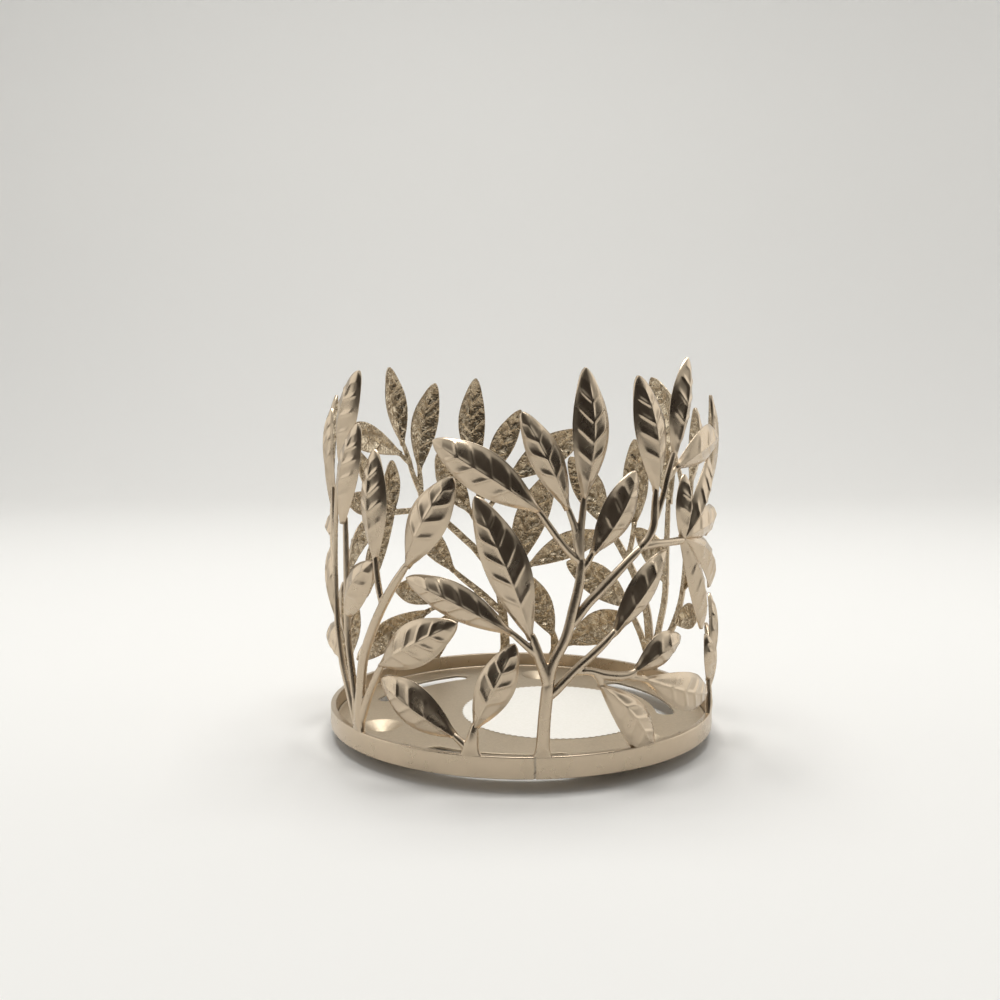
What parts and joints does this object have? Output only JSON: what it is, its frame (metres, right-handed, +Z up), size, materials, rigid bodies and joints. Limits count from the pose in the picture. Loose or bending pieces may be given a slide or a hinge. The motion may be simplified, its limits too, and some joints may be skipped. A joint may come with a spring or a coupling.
{
  "type": "jar candle holder",
  "caption": "Open cylindrical metal sleeve of relief leaf sprays on a low rim band, with a footed base plate, for a wide candle jar to stand in.",
  "frame": {"origin": "on the holder's axis, at the surface that its feet stand on", "axes": "+Z up along the axis, -Y towards the front rim seam beside the main spray, +X to the right of that seam seen from outside"},
  "size_m": [0.1094, 0.11, 0.104],
  "materials": {
    "cast_metal": "satin champagne plating over a casting",
    "plate_metal": "satin champagne plating over turned sheet",
    "label_paper": "matt, blank"
  },
  "bodies": {
    "root": {"base_plate": "plate_metal", "paper_label": "label_paper", "seam_solder": "cast_metal", "right_rim_band": "cast_metal", "left_rim_band": "cast_metal", "right_main_spray": "cast_metal", "left_main_spray": "cast_metal", "right_long_branch": "cast_metal", "left_long_branch": "cast_metal", "right_low_branch": "cast_metal", "left_low_branch": "cast_metal", "right_side_spray": "cast_metal", "left_side_spray": "cast_metal", "right_sprout": "cast_metal", "left_sprout": "cast_metal", "right_middle_sprig": "cast_metal", "left_middle_sprig": "cast_metal"}
  },
  "joints": []
}
